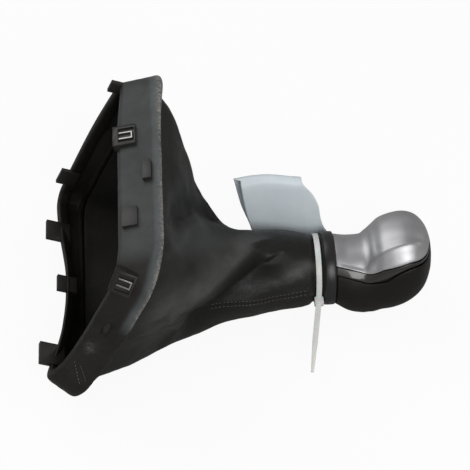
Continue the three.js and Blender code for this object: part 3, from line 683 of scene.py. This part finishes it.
# %% [markdown]
# ## The gaiter's mesh
# The skin is a grid of columns round the gaiter and rows along it, which lie closer together at the collar,
# where the tie draws the leather in. Each vertex then looks up its own place on the gaiter in a search tree,
# and keeps how much painted highlight it gets on a fold's top and how much painted shade in a hollow.

# %% The gaiter's mesh
LEATHER = 1.4
GAITER_COLUMNS = 192
LONG_ROWS = 96
TIE_ROWS = [0.938, 0.944, 0.95, 0.957, 0.97, 0.985, 0.997, 1.0]
# The painted shade in the hollows is never stronger than this.
DARKEST_FOLD_SHADE = 0.95

lining = leather("gaiter_lining", (0.011, 0.010, 0.009), (0.024, 0.0225, 0.020), 0.8, 1.4, 0.12)
rows = [0.93 * k / LONG_ROWS for k in range(LONG_ROWS + 1)] + TIE_ROWS
places = [[(360 * i / GAITER_COLUMNS, t) for i in range(GAITER_COLUMNS)] for t in rows]
points = [[on_floor(gaiter_point(*place)) for place in row] for row in places]
bm = bmesh.new()
skin(bm, points)
gaiter = new_object(bm, "gaiter_skin", gaiter_leather, lining)

finder = kdtree.KDTree(len(rows) * GAITER_COLUMNS)
for r, row in enumerate(points):
    for i, point in enumerate(row):
        finder.insert(point, r * GAITER_COLUMNS + i)
finder.balance()
fold_highlight = gaiter.data.attributes.new("fold_highlight", "FLOAT", "POINT")
fold_shade = gaiter.data.attributes.new("fold_shade", "FLOAT", "POINT")
for vert in gaiter.data.vertices:
    r, i = divmod(finder.find(vert.co)[1], GAITER_COLUMNS)
    # The fold's painted highlight.
    fold_highlight.data[vert.index].value = clamp(fold_height(*places[r][i], FOLD_HIGHLIGHT))
    # The fold's painted shade.
    fold_shade.data[vert.index].value = clamp(fold_height(*places[r][i], FOLD_SHADE), 0, DARKEST_FOLD_SHADE)
add_modifier(
    gaiter, "SOLIDIFY", thickness=LEATHER * 0.8 * MM, offset=-1.0, material_offset=1, use_even_offset=False
)
belongs(gaiter, "gaiter")

# %% [markdown]
# ## The leather band on the frame
# The gaiter's lower edge is a band of thicker leather, stretched over the plastic frame and turned in at its
# bottom. Its section is swept round the outline and smoothed by a subdivision.

# %% The band's mesh
WALL, WALL_GAP = 2.0, 0.7
WRAP_IN = LEATHER * 2 + WALL + WALL_GAP * 2
# How far inside the outer face, and height.
BAND_SECTION = [
    (WRAP_IN, -13), (WRAP_IN, -FRAME_DEPTH + 0.6), (WRAP_IN - 1, -FRAME_DEPTH - 0.7), (1, -FRAME_DEPTH - 0.7),
    (0, -FRAME_DEPTH + 0.4), (0, -13), (0, -5), (-0.5, -1.6), (-0.2, 0.6), (1.3, 2.1), (3.4, 2.3), (5.6, 1),
    (7.4, -0.8), (6.8, -1.5), (5.3, -0.4), (3.2, 0.8), (1.9, 0.5), (1.1, -0.6), (LEATHER, -5), (LEATHER, -13),
    (LEATHER, -FRAME_DEPTH + 0.7), (WRAP_IN - LEATHER, -FRAME_DEPTH + 0.7), (WRAP_IN - LEATHER, -13),
]

bm = bmesh.new()
last = skin(bm, [[on_floor(p) for p in wall_loop(inset, z)] for inset, z in BAND_SECTION])
bm.verts.ensure_lookup_table()
first = bm.verts[:AROUND]
bmesh.ops.bridge_loops(
    bm,
    edges=[bm.edges.get((ring[k], ring[(k + 1) % AROUND])) for ring in (first, last) for k in range(AROUND)],
)
band = new_object(bm, "band_skin", band_leather)
add_modifier(band, "SUBSURF", levels=2, render_levels=2)
apply_modifiers(band)
print("band of", len(band.data.polygons), "faces")

# %% [markdown]
# ## Creases, wear and painted light on the band
# One pass over the band's points creases the leather and marks its colours. The creases are noise, small
# round the frame and larger on the near wall, where the leather is slack. That wall also has a slot where the
# leather gapes and a frayed spot, and the band swells out at the near rear corner. The front wall and the
# roll over the ridge get a painted sheen, the slot gets painted shade, and the ridge itself is worn.

# %% Creases, wear and painted light
# Where the slot and the frayed spot are, along the near wall and in height, and half their size.
SLOT_X, SLOT_Z, SLOT_LONG, SLOT_WIDE, SLOT_SLANT, SLOT_DEEP = 5, -10.6, 7.5, 2.6, 0.1, 3
FRAY_X, FRAY_Z, FRAY_LONG, FRAY_WIDE = -15, -14.8, 5, 3
CORNER_SWELL = 2.6
to_car = turn.transposed()


def spot(along, across, power=2):
    """1 in the middle of a spot and 0 well outside it; a higher power has a sharper edge."""
    return math.exp(-(along ** power) - across ** power)


def noise_at(x, y, z, scale=1.0):
    return noise.noise(Vector((x, y, z)) * scale)


def band_creases(p, slot, fray):
    """How far the band's leather stands out at a point of the car."""
    crease = 0.5 * noise_at(p.x * 0.05, p.y * 0.05, p.z * 0.12) + 0.22 * noise_at(p.x, p.y, p.z * 1.6, 0.16)
    slack = smooth((p.y - 72) / 8) * (1 - smooth((p.x - 5) / 22)) * (1 - 0.8 * smooth((-p.x - 38) / 16))
    crease += slack * (1.5 * noise_at(p.x * 0.11, p.z * 0.2, 4) + 0.7 * noise_at(p.x * 0.3, p.z * 0.35, 7))
    return crease + fray * 1.3 * noise_at(p.x, p.y, p.z, 0.7) - SLOT_DEEP * slot


marks = {name: band.data.attributes.new(name, "FLOAT", "POINT") for name in ("wear", "painted_sheen", "slot")}
for vert in band.data.vertices:
    p = to_car @ (vert.co / MM - shift)
    slot_across = (p.z - SLOT_Z - SLOT_SLANT * (p.x - SLOT_X)) / SLOT_WIDE
    slot = spot((p.x - SLOT_X) / SLOT_LONG, slot_across, 4) * smooth((p.y - 78) / 2)
    fray = spot((p.x - FRAY_X) / FRAY_LONG, (p.z - FRAY_Z) / FRAY_WIDE) * smooth((p.y - 76) / 2)
    swell = spot((p.x + FRAME_X * 0.36) / 20, (p.y - FRAME_Y * 0.47) / 16) * CORNER_SWELL
    outwards = Vector((p.x / FRAME_X, p.y / FRAME_Y, 0.2)).normalized()
    moved = outwards * band_creases(p, slot, fray) + Vector((-0.5, 1, -0.9)) * swell
    vert.co += turn @ moved * MM

    near_ridge = math.exp(-(((p.z - 1.9) / 2.2) ** 2)) if p.z > -8 else 0.0
    front_face = smooth((p.x + DRAFT_X * clamp(-p.z / FRAME_DEPTH, 0, 1.2) - FRAME_X / 2 + 7) / 2)
    front = front_face * (1 - smooth((p.y - FRAME_Y * 0.36) / 12))
    roll = smooth((p.z + 6.5) / 4) * smooth((p.x - 4) / 18)
    # The front wall and the roll over the ridge get a painted sheen.
    marks["painted_sheen"].data[vert.index].value = max(0.55 * front, roll)
    marks["wear"].data[vert.index].value = max(near_ridge * smooth((p.x - 5) / 25), 0.3 * fray)
    # The slot's near-black mark is painted shade.
    marks["slot"].data[vert.index].value = slot
band.data.update()
belongs(band, "band_leather")

# %% [markdown]
# ## Moulded pieces
# The frame, its hooks and the steel clips are simple moulded and bent shapes that the CAD model already
# holds. Each is copied, its loose triangles are merged into clean faces, and its edges get a small round.

# %% Copies of the CAD's moulded pieces
WELD = 2e-5
FLAT_ANGLE, EDGE_ANGLE = math.radians(1.5), math.radians(35)


def moulded(node, name, material, edge, segments=2):
    """A copy of a CAD node with merged faces and edges rounded by that radius in millimetres."""
    bm = bmesh.new()
    bm.from_mesh(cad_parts[node].data)
    bmesh.ops.remove_doubles(bm, verts=bm.verts, dist=WELD)
    bmesh.ops.dissolve_limit(
        bm, angle_limit=FLAT_ANGLE, verts=bm.verts, edges=bm.edges, delimit=set(), use_dissolve_boundaries=False
    )
    piece = new_object(bm, name, material, outwards=False)
    add_modifier(
        piece, "BEVEL", width=edge * MM, segments=segments, limit_method="ANGLE", angle_limit=EDGE_ANGLE,
        harden_normals=False, use_clamp_overlap=True,
    )
    belongs(piece, node)


moulded("gaiter_frame", "frame_moulding", frame_plastic, 0.35)
for spring in ("spring_front_far", "spring_front_near", "spring_rear_near"):
    moulded(spring, spring + "_wire", clip_steel, 0.3, 3)
moulded("cable_tie", "tie_strap", tie_nylon, 0.25)

# %% [markdown]
# ## The collar and the knob's axes
# The knob stands on the lever, so its sections are given in its own axes: x to its silver front, z along it.

# %% The collar
KNOB_ROLL = math.radians(-12)
skyward = Vector((math.cos(LYING_TILT), 0, -math.sin(LYING_TILT)))
frontward = (skyward - NECK_AXIS * skyward.dot(NECK_AXIS)).normalized()
frontward.rotate(Matrix.Rotation(KNOB_ROLL, 3, NECK_AXIS))
sideward = NECK_AXIS.cross(frontward)
knob_start = collar_start + NECK_AXIS * (COLLAR_LENGTH + GAP)


def on_knob(x, y, z, origin=knob_start):
    return on_floor(origin + frontward * x + sideward * y + NECK_AXIS * z)


COLLAR_BORE = 15.2
COLLAR_PROFILE = [
    (COLLAR_BORE, 0), (COLLAR_RADIUS - 1, 0), (COLLAR_RADIUS - 0.3, 0.3), (COLLAR_RADIUS, 1),
    (COLLAR_RADIUS + 0.1, COLLAR_LENGTH * 0.5), (COLLAR_RADIUS, COLLAR_LENGTH - 1),
    (COLLAR_RADIUS - 0.3, COLLAR_LENGTH - 0.3), (COLLAR_RADIUS - 1, COLLAR_LENGTH),
    (COLLAR_BORE, COLLAR_LENGTH), (COLLAR_BORE, 0),
]
bm = bmesh.new()
profile = [bm.verts.new((radius, 0, height)) for radius, height in COLLAR_PROFILE]
for a, b in zip(profile, profile[1:]):
    bm.edges.new((a, b))
bmesh.ops.spin(
    bm, geom=bm.verts[:] + bm.edges[:], cent=(0, 0, 0), axis=(0, 0, 1), dvec=(0, 0, 0),
    angle=2 * math.pi, steps=96, use_merge=True,
)
for vert in bm.verts:
    vert.co = on_knob(*vert.co, origin=collar_start)
collar = new_object(bm, "collar", collar_plastic)
belongs(collar, "collar_ring")

# %% [markdown]
# ## The knob
# One table of sections gives the whole knob's outer form. The silver cover, the glossy strip and the leather
# back are three skins on that form, each between two edge lines, so they meet in an even joint.

# %% The knob's form
KNOB_LENGTH = 63.5
# Height, the section's middle in x and y, half its depth and width, and how square it is.
KNOB_SHAPE = [
    (0, -0.5, 0, 22.9, 22.9, 2),
    (9, -3.3, 1.3, 25.2, 24.1, 2.05),
    (18, -4.1, 1, 26.6, 24.6, 2.15),
    (22, -2.8, 0.6, 27.4, 25, 2.25),
    (25.5, -1, 0.3, 29, 25.6, 2.3),
    (30, 2, 0, 30, 26.4, 2.4),
    (38, 4.5, 0, 30.5, 27.2, 2.45),
    (46, 6.8, 0, 29.3, 26.8, 2.45),
    (53, 8.4, 0, 26, 24.4, 2.4),
    (58, 9, 0, 21.2, 20, 2.3),
    (61, 9.6, 0, 15.2, 14.5, 2.2),
    (KNOB_LENGTH - 0.6, 9.6, 0, 7.4, 7.4, 2.1),
    (KNOB_LENGTH, 9.6, 0, 0.0, 0.0, 2),
]
# Height, the cover's half width, and how far the strip reaches past it.
COVER_EDGE = [
    (0, 16.8, 3.4), (8, 17.8, 3.4), (16, 19.7, 2.9), (22.5, 22.2, 2), (30, 24.4, 1.6), (38, 25.3, 1.2),
    (46, 24.7, 1), (53, 22.2, 0.8), (57.5, 17.6, 0.7), (59.8, 12.2, 0.6), (61.2, 5, 0.5), (61.4, 0, 0.5),
]
TIP = COVER_EDGE[-1][0]
STRIP_LOW = 1.0


def knob_point(height, angle, out=0.0):
    """A point of the knob's form: angle 0 is the front's middle."""
    shift_x, shift_y, depth, width, power = read_table(KNOB_SHAPE, height)
    c, s = math.cos(angle), math.sin(angle)
    reach = (abs(c) ** power + abs(s) ** power) ** (-1 / power)
    across, side_out = max(0, depth + out) * reach * c, max(0, width + out * 0.7) * reach * s
    return Vector((shift_x + across, shift_y + side_out, height))


print("knob's widest section", max(KNOB_SHAPE, key=lambda row: row[3])[:5])

# %% [markdown]
# ## The silver cover's styling
# The cover's front has a hollow across the neck, a step up to the head and a crease along each side of it,
# with a flat beyond. The relief runs out softly at 1 mm below the form, so that the knob's core stays covered.

# %% The cover's relief
STEP_AT, STEP_FALL, STEP_RUN, STEP_HIGH = 21.5, 4.5, 3.2, 1.3
NECK_HOLLOW, STEP_GROOVE = 0.8, 0.35
CREASE_AT, NEAR_CREASE, FAR_CREASE = 41, 1.2, 0.5
FREE_DEPTH, SOFT_DEPTH = 0.6, 0.4


def cover_relief(height, angle):
    """How far the cover stands out from the knob's form; the near side has the positive angles."""
    aside = abs(math.degrees(angle))
    above_step = height - STEP_AT + STEP_FALL * smooth((aside - 30) / 26)
    step = STEP_HIGH * smooth(above_step / STEP_RUN) - NECK_HOLLOW
    step -= STEP_GROOVE * math.exp(-(((above_step + 1.5) / 3.0) ** 2))
    head = smooth((height - 22) / 4) * (1 - smooth((height - 52) / 7))
    past_crease = aside - CREASE_AT + 3 * smooth((height - 27) / 20)
    crease = (NEAR_CREASE if angle > 0 else FAR_CREASE) * math.exp(-math.hypot(past_crease / 6.5, 0.18))
    flat = 0.5 * math.exp(-(((past_crease - 13) / 6) ** 2))
    lowered = 0.5 + 1.3 * (1 - smooth((aside - 26) / 16))
    relief = step * smooth(height / 8) * (1 - smooth((height - 50) / 9)) + (crease - flat - lowered) * head
    if angle < 0:
        relief = mix(relief, min(relief, -0.2), smooth((aside - 12) / 20))
    if relief > -FREE_DEPTH:
        return relief
    return -FREE_DEPTH - SOFT_DEPTH * math.tanh((-FREE_DEPTH - relief) / SOFT_DEPTH)


print("relief up the front's middle", [round(cover_relief(height, 0), 2) for height in (0, 10, 20, 30, 50)])

# %% [markdown]
# ## The joints between the knob's skins
# Each edge runs from the foot to the tip on both sides at once, and is kept as height, far angle and near
# angle. The four edges are the cover's, the strip's inner and outer one, and the grip's.

# %% The edges
EDGE_STEPS, HALVINGS = 90, 26


def angle_at(height, half_width, lowest, side):
    """The angle at which the form is that wide, or as low as the strip's lower edge."""
    low_angle, high_angle = 0.0, math.pi / 2
    for _ in range(HALVINGS):
        middle = (low_angle + high_angle) / 2
        p = knob_point(height, side * middle)
        if side * (p.y - read_table(KNOB_SHAPE, height)[1]) < half_width and p.x > lowest:
            low_angle = middle
        else:
            high_angle = middle
    return low_angle


def edge_line(strip_share, grow_side, grow_end, lowest):
    """The edge from the foot to the tip, as (height, far angle, near angle)."""
    line = []
    for k in range(EDGE_STEPS):
        height = TIP * math.sin(k / EDGE_STEPS * math.pi / 2)
        half_width, reach = read_table(COVER_EDGE, height)
        grown = height + (height / KNOB_LENGTH) ** 2 * grow_end
        wide = half_width + strip_share * reach + grow_side
        line.append((grown, -angle_at(grown, wide, lowest, -1), angle_at(grown, wide, lowest, 1)))
    end = TIP + (TIP / KNOB_LENGTH) ** 2 * grow_end
    return line + [(end, 0.0, 0.0)]


cover_edge = edge_line(0, 0, 0, STRIP_LOW + 2)
inner_edge = edge_line(0, GAP, GAP, STRIP_LOW + 2 - GAP)
outer_edge = edge_line(1, 0, 0.5, STRIP_LOW)
grip_edge = edge_line(1, GAP, 0.5 + GAP, STRIP_LOW - GAP)


print("the cover's edge ends at", [round(v, 2) for v in cover_edge[-1]])

# %% [markdown]
# ## The cover, the strip and the grip
# The cover is a grid from its far edge to its near edge with the relief, which fades out towards them. The
# strip runs up one side and down the other, and the grip goes round the back and closes over the tip.

# %% The knob's three skins
COLUMNS = 64
STRIP_COLUMNS = 6
GRIP_COLUMNS = 96
COVER_THICK, STRIP_THICK, GRIP_THICK = 1.2, 2, 1.6
ROUNDING = {"width": 0.3 * MM, "segments": 2, "limit_method": "ANGLE", "angle_limit": math.radians(50)}


def place_rows(rows):
    return [[on_knob(*knob_point(height, angle)) for height, angle in row] for row in rows]


bm = bmesh.new()
cover_rows = []
for h, a, b in cover_edge:
    row = []
    for k in range(COLUMNS + 1):
        angle, inside = mix(a, b, k / COLUMNS), 1 - smooth(abs(2 * k / COLUMNS - 1) * 8 - 7)
        row.append(on_knob(*knob_point(h, angle, cover_relief(h, angle) * inside)))
    cover_rows.append(row)
skin(bm, cover_rows, around=False)
cover = new_object(bm, "cover_skin", satin_silver, merge=WELD)
add_modifier(cover, "SOLIDIFY", thickness=COVER_THICK * MM, offset=-1.0)
add_modifier(cover, "BEVEL", **ROUNDING)
belongs(cover, "knob_cover")

bm = bmesh.new()
strip_rows = []
for side in (1, 2):
    pairs = list(zip(inner_edge, outer_edge))
    for inner, outer in pairs if side == 1 else pairs[::-1][1:]:
        strip_rows.append(
            [
                (mix(inner[0], outer[0], k / STRIP_COLUMNS), mix(inner[side], outer[side], k / STRIP_COLUMNS))
                for k in range(STRIP_COLUMNS + 1)
            ]
        )
skin(bm, place_rows(strip_rows), around=False)
strip = new_object(bm, "strip_skin", gloss_strip, merge=WELD)
add_modifier(strip, "SOLIDIFY", thickness=STRIP_THICK * MM, offset=-1.0)
add_modifier(strip, "BEVEL", **ROUNDING)
belongs(strip, "knob_strip")

bm = bmesh.new()
grip_edge += [(height, 0, 0) for height in (63.2, 63.35, 63.45, KNOB_LENGTH)]
grip_rows = [
    [(h, mix(b, 2 * math.pi + a, k / GRIP_COLUMNS)) for k in range(GRIP_COLUMNS + 1)] for h, a, b in grip_edge
]
skin(bm, place_rows(grip_rows), around=False)
grip = new_object(bm, "grip_skin", grip_leather, merge=WELD)
add_modifier(grip, "SOLIDIFY", thickness=GRIP_THICK * MM, offset=-1.0)
belongs(grip, "knob_grip")

# %% [markdown]
# ## The gaiter's seam
# The gaiter's panels are sewn together along the near side: a shallow groove, with a row of thread on each
# side. The groove is in the gaiter's surface. Each stitch is a small rounded bead of thread, laid along the
# same line and pressed halfway into the leather.

# %% The seam's stitches
STITCH_STEP, STITCH_LENGTH, STITCH_THICK = 2.6, 1.9, 0.42
SEAM_ASIDE, STITCH_LIFT = 1.9, 0.12


def add_stitch(bm, middle, ahead, out, length, thick, place=Vector):
    """A rounded bead of thread along ahead; place takes its points to where they belong."""
    side = out.cross(ahead).normalized()
    for vert in bmesh.ops.create_icosphere(bm, subdivisions=1, radius=1.0)["verts"]:
        p = vert.co.copy()
        vert.co = place(middle + ahead * p.x * length / 2 + (side * p.y + out * p.z) * thick / 2)


def along_line(line, step):
    """Places (degrees, t) about every step millimetres along a line on the gaiter."""
    places = []
    for (a0, t0), (a1, t1) in zip(line, line[1:]):
        length = (gaiter_point(a1, t1) - gaiter_point(a0, t0)).length
        count = max(1, round(length / step))
        places += [(mix(a0, a1, k / count), mix(t0, t1, k / count)) for k in range(count)]
    return places


def stitch_row(bm, line, aside):
    """A row of stitches beside a line, aside millimetres away from it."""
    places = along_line(line, STITCH_STEP)
    for (a0, t0), (a1, t1) in zip(places, places[1:]):
        per_degree = (gaiter_point(a0 + 1, t0) - gaiter_point(a0, t0)).length
        turned = aside / max(0.2, per_degree)
        here, there = gaiter_point(a0 + turned, t0), gaiter_point(a1 + turned, t1)
        out = (gaiter_point(a0 + turned, t0, 1.0) - here).normalized()
        middle = here.lerp(there, 0.5) + out * STITCH_LIFT
        add_stitch(bm, middle, (there - here).normalized(), out, STITCH_LENGTH, STITCH_THICK, on_floor)


thread = plastic("thread", (0.10, 0.093, 0.08), (0.16, 0.15, 0.13), 0.6, 900, 0.05)
bm = bmesh.new()
stitch_row(bm, SEAM[2:], -SEAM_ASIDE)
stitch_row(bm, SEAM[2:], SEAM_ASIDE)
stitches = new_object(bm, "seam_stitches", thread)
belongs(stitches, None)

# %% [markdown]
# ## Stitches on the band
# Two short rows of the same thread show at the near rear corner. The ends of each stitch are put on the
# band's own mesh, so the thread follows its creases.

# %% The band's stitches
BAND_ROWS = (((-31, 82, -20), (-46.4, 87.2, -11)), ((-30.5, 82, -16.5), (-43, 87, -8)))
ROW_STITCHES = 7
# Where a stitch starts and ends in its share of the row, and how thick it is and how high it lies.
STITCH_ENDS = (0.1, 0.85)
BAND_THREAD, BAND_LIFT = 0.5 * MM, 0.08 * MM

bm = bmesh.new()
for start, end in BAND_ROWS:
    for k in range(ROW_STITCHES):
        ends = [Vector(start).lerp(Vector(end), (k + part) / ROW_STITCHES) for part in STITCH_ENDS]
        (_, here, out, _), (_, there, _, _) = [band.closest_point_on_mesh(on_floor(p)) for p in ends]
        ahead = there - here
        middle = here.lerp(there, 0.5) + out * BAND_LIFT
        add_stitch(bm, middle, ahead.normalized(), out, ahead.length, BAND_THREAD)
band_stitches = new_object(bm, "band_stitches", thread)
belongs(band_stitches, None)

# %% [markdown]
# ## The tie-on tag
# A bare sheet of stiff plastic is folded over its top edge and stands between the gaiter and the floor. It
# is one skin over its bent section, cut to its outline row by row, with a little wave in it.

# %% The tag
# From the near leaf's foot over the fold to the far leaf's foot, and each side's edge by height.
TAG_SECTION = [
    (20.5, -48), (22.5, -31), (24.9, -13), (28, 2), (29.6, 7.4), (31.2, 9.6), (33.6, 10.6), (36, 9.8), (37, 7),
    (35.4, -7), (31.6, -25), (27.6, -41),
]
TAG_RIGHT = [(-58, 137), (-33, 136.5), (-25, 133), (-17, 131), (-7, 129.5), (3, 125), (10, 119), (23, 112)]
TAG_LEFT = [(-58, 91), (-33, 87.5), (-9, 82), (23, 77.5)]
TAG_FAR_LEFT = [(-58, 91), (-33, 86), (-12, 79), (23, 72.5)]
TAG_THICK = 0.7
SECTION_STEPS = 8
TAG_COLUMNS = 40
TAG_WAVE, TAG_RIPPLE, TAG_ARCH = 0.5, 0.15, 2.4
# The section's point at the top of the fold, and how much shorter the far leaf is on the right.
FOLD_TOP, FAR_SHORTER = 6, 7


def lying(x, y, z):
    """A point in the lying part's own axes, before its shift."""
    return (Vector((x, y, z)) + shift) * MM


tag_table = [(k, y, z) for k, (y, z) in enumerate(TAG_SECTION)]
bm = bmesh.new()
tag_rows = []
for k in range((len(TAG_SECTION) - 1) * SECTION_STEPS + 1):
    v = k / SECTION_STEPS
    y, z = read_table(tag_table, v)
    (right,) = read_table(TAG_RIGHT, z)
    (left,) = read_table(TAG_LEFT if v < FOLD_TOP + 1 else TAG_FAR_LEFT, z)
    if FOLD_TOP < v < FOLD_TOP + 1:
        left = mix(left, read_table(TAG_FAR_LEFT, z)[0], smooth(v - FOLD_TOP))
    right -= FAR_SHORTER * smooth((v - FOLD_TOP - 0.4) / 1.5)
    row = []
    for n in range(TAG_COLUMNS + 1):
        u = n / TAG_COLUMNS
        x = mix(left, right, u)
        wave = TAG_WAVE * noise_at(x * 0.05, v * 0.25, 3) + TAG_RIPPLE * noise_at(x * 0.14, v * 0.5, 9)
        arch = TAG_ARCH * math.sin(math.pi * clamp(u * 1.08)) ** 1.2 * smooth((z + 20) / 30)
        row.append(lying(x, y + wave + arch * 0.3, z + wave * 0.3 + arch))
    tag_rows.append(row)
skin(bm, tag_rows, around=False)
tag = new_object(bm, "tag_skin", tag_sheet)
add_modifier(tag, "SOLIDIFY", thickness=TAG_THICK * MM, offset=1.0)
belongs(tag, "tag")
